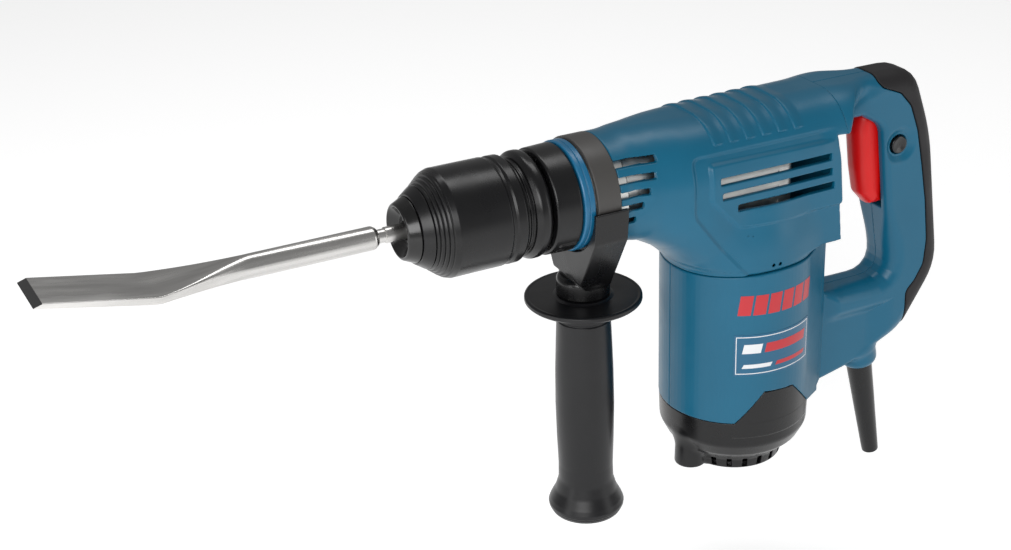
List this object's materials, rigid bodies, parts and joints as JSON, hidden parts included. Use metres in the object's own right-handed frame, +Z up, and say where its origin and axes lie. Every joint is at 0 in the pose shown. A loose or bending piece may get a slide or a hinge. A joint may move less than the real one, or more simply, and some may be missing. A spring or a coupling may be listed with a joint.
{
  "type": "electric chipping hammer",
  "caption": "Hand-held electric chipping hammer: blue D-handle housing, upright motor, black grooved-shank chuck with a cranked flat chisel, and a clamp-on side handle",
  "frame": {"origin": "middle of the tool holder's nose, on the barrel axis", "axes": "-X toward the chisel's edge, +X toward the rear D-handle, +Z up away from the motor, +Y to the tool's right side seen from behind"},
  "size_m": [0.6198, 0.1023, 0.3003],
  "materials": {
    "blue_shell": "satin moulded plastic",
    "collar_blue": "satin moulded plastic, a brighter blue",
    "black_plastic": "satin moulded plastic",
    "band_black": "satin moulded plastic, slightly lighter",
    "grip_rubber": "fine-textured soft grip",
    "cap_rubber": "smooth rubber",
    "trigger_red": "smooth red plastic",
    "label": "thin printed film, left blank",
    "ivory_plastic": "moulded terminal plastic",
    "chisel_steel": "ground and brushed along the shaft",
    "steel": "turned steel",
    "aluminium": "die-cast, bright",
    "laminations": "stacked sheet steel",
    "copper": "varnished copper",
    "brass": "pressed brass",
    "carbon": "pressed carbon"
  },
  "bodies": {
    "housing": {"front_collar": "collar_blue", "hammer_tube": "steel", "crank_bearing": "steel", "gear_housing": "aluminium", "gear_cover": "aluminium", "case_screws": "steel", "bearing_shield": "aluminium", "upper_bearing": "steel", "lower_bearing": "steel", "stator": "laminations", "field_coils": "copper", "brush_holders": "brass", "carbon_brushes": "carbon", "upper_housing": "blue_shell", "motor_housing": "blue_shell", "motor_cap": "black_plastic", "rating_label": "label", "handle_left_shell": "blue_shell", "handle_right_shell": "blue_shell", "housing_screws": "steel", "rear_pad": "grip_rubber", "strain_relief": "grip_rubber", "trigger_pin": "steel", "switch_module": "black_plastic", "noise_filter": "black_plastic", "terminal_block": "ivory_plastic", "cord_clamp": "black_plastic"},
    "holder": {"tool_holder": "steel", "dust_cap": "cap_rubber", "stop_ring": "steel", "holder_ring": "black_plastic", "sleeve_spring": "steel"},
    "sleeve": {"locking_sleeve": "black_plastic", "locking_ring": "steel"},
    "ball_top": {"locking_ball_top": "steel"},
    "ball_bottom": {"locking_ball_bottom": "steel"},
    "adjuster": {"adjusting_ring": "black_plastic"},
    "working_tool": {"chisel": "chisel_steel"},
    "striker": {"impact_bolt": "steel"},
    "flying_ram": {"ram": "steel", "ram_seal": "cap_rubber"},
    "drive_piston": {"piston": "aluminium", "piston_seal": "cap_rubber", "wrist_pin": "steel"},
    "rod": {"connecting_rod": "aluminium"},
    "crank": {"crank_gear": "steel", "crank_bearing_hub": "steel"},
    "armature": {"armature_shaft": "steel", "armature_core": "laminations", "armature_winding": "copper", "commutator": "copper", "cooling_fan": "black_plastic", "armature_bearing_hubs": "steel"},
    "trigger_lever": {"trigger": "trigger_red"},
    "lock": {"lock_button": "black_plastic"},
    "side_mount": {"clamp_band": "band_black", "clamp_cradle": "black_plastic", "clamp_bolt": "steel"},
    "side_handle": {"side_grip": "grip_rubber", "grip_insert": "brass"}
  },
  "joints": [
    {"name": "holder_turn", "type": "hinge", "parent": "housing", "child": "holder", "pos_m": [0, 0, 0], "axis": [1, 0, 0], "continuous": true},
    {"name": "chisel_slide", "type": "slide", "parent": "holder", "child": "working_tool", "axis": [1, 0, 0], "range_m": [0, 0.008]},
    {"name": "sleeve_slide", "type": "slide", "parent": "holder", "child": "sleeve", "axis": [1, 0, 0], "range_m": [0, 0.004], "stiffness_N_per_m": 1500, "springref_m": -0.008},
    {"name": "ball_top_release", "type": "slide", "parent": "holder", "child": "ball_top", "axis": [0, 0, 1], "range_m": [0, 0.002]},
    {"name": "ball_bottom_release", "type": "slide", "parent": "holder", "child": "ball_bottom", "axis": [0, 0, -1], "range_m": [0, 0.002]},
    {"name": "adjusting_ring_slide", "type": "slide", "parent": "holder", "child": "adjuster", "axis": [-1, 0, 0], "range_m": [0, 0.0016], "stiffness_N_per_m": 2000, "springref_m": -0.004},
    {"name": "impact_bolt_slide", "type": "slide", "parent": "holder", "child": "striker", "axis": [1, 0, 0], "range_m": [0, 0.006]},
    {"name": "ram_slide", "type": "slide", "parent": "housing", "child": "flying_ram", "axis": [1, 0, 0], "range_m": [0, 0.012]},
    {"name": "piston_slide", "type": "slide", "parent": "housing", "child": "drive_piston", "axis": [1, 0, 0], "range_m": [0, 0.02]},
    {"name": "rod_swing", "type": "hinge", "parent": "drive_piston", "child": "rod", "pos_m": [0.168, 0, 0], "axis": [0, 0, 1], "range_deg": [-16, 16]},
    {"name": "armature_spin", "type": "hinge", "parent": "housing", "child": "armature", "pos_m": [0.241, 0, -0.1], "axis": [0, 0, 1], "continuous": true},
    {"name": "crank_spin", "type": "hinge", "parent": "housing", "child": "crank", "pos_m": [0.214, 0, -0.02], "axis": [0, 0, 1], "continuous": true},
    {"name": "trigger_pull", "type": "hinge", "parent": "housing", "child": "trigger_lever", "pos_m": [0.349, 0, 0.006], "axis": [0, -1, 0], "range_deg": [0, 7], "stiffness_Nm_per_rad": 2, "springref_deg": -5.73},
    {"name": "lock_button_press", "type": "slide", "parent": "housing", "child": "lock", "axis": [0, 1, 0], "range_m": [0, 0.0025], "stiffness_N_per_m": 800, "springref_m": -0.002},
    {"name": "side_handle_swivel", "type": "hinge", "parent": "housing", "child": "side_mount", "pos_m": [0.127, 0, 0], "axis": [1, 0, 0], "continuous": true},
    {"name": "side_grip_turn", "type": "hinge", "parent": "side_mount", "child": "side_handle", "pos_m": [0.125, 0, -0.1], "axis": [0, 0, 1], "range_deg": [0, 360]}
  ],
  "couplings": [
    {"joint": "ball_top_release", "follows": "sleeve_slide", "ratio": 0.5},
    {"joint": "ball_bottom_release", "follows": "sleeve_slide", "ratio": 0.5},
    {"joint": "crank_spin", "follows": "armature_spin", "ratio": -0.11111}
  ]
}
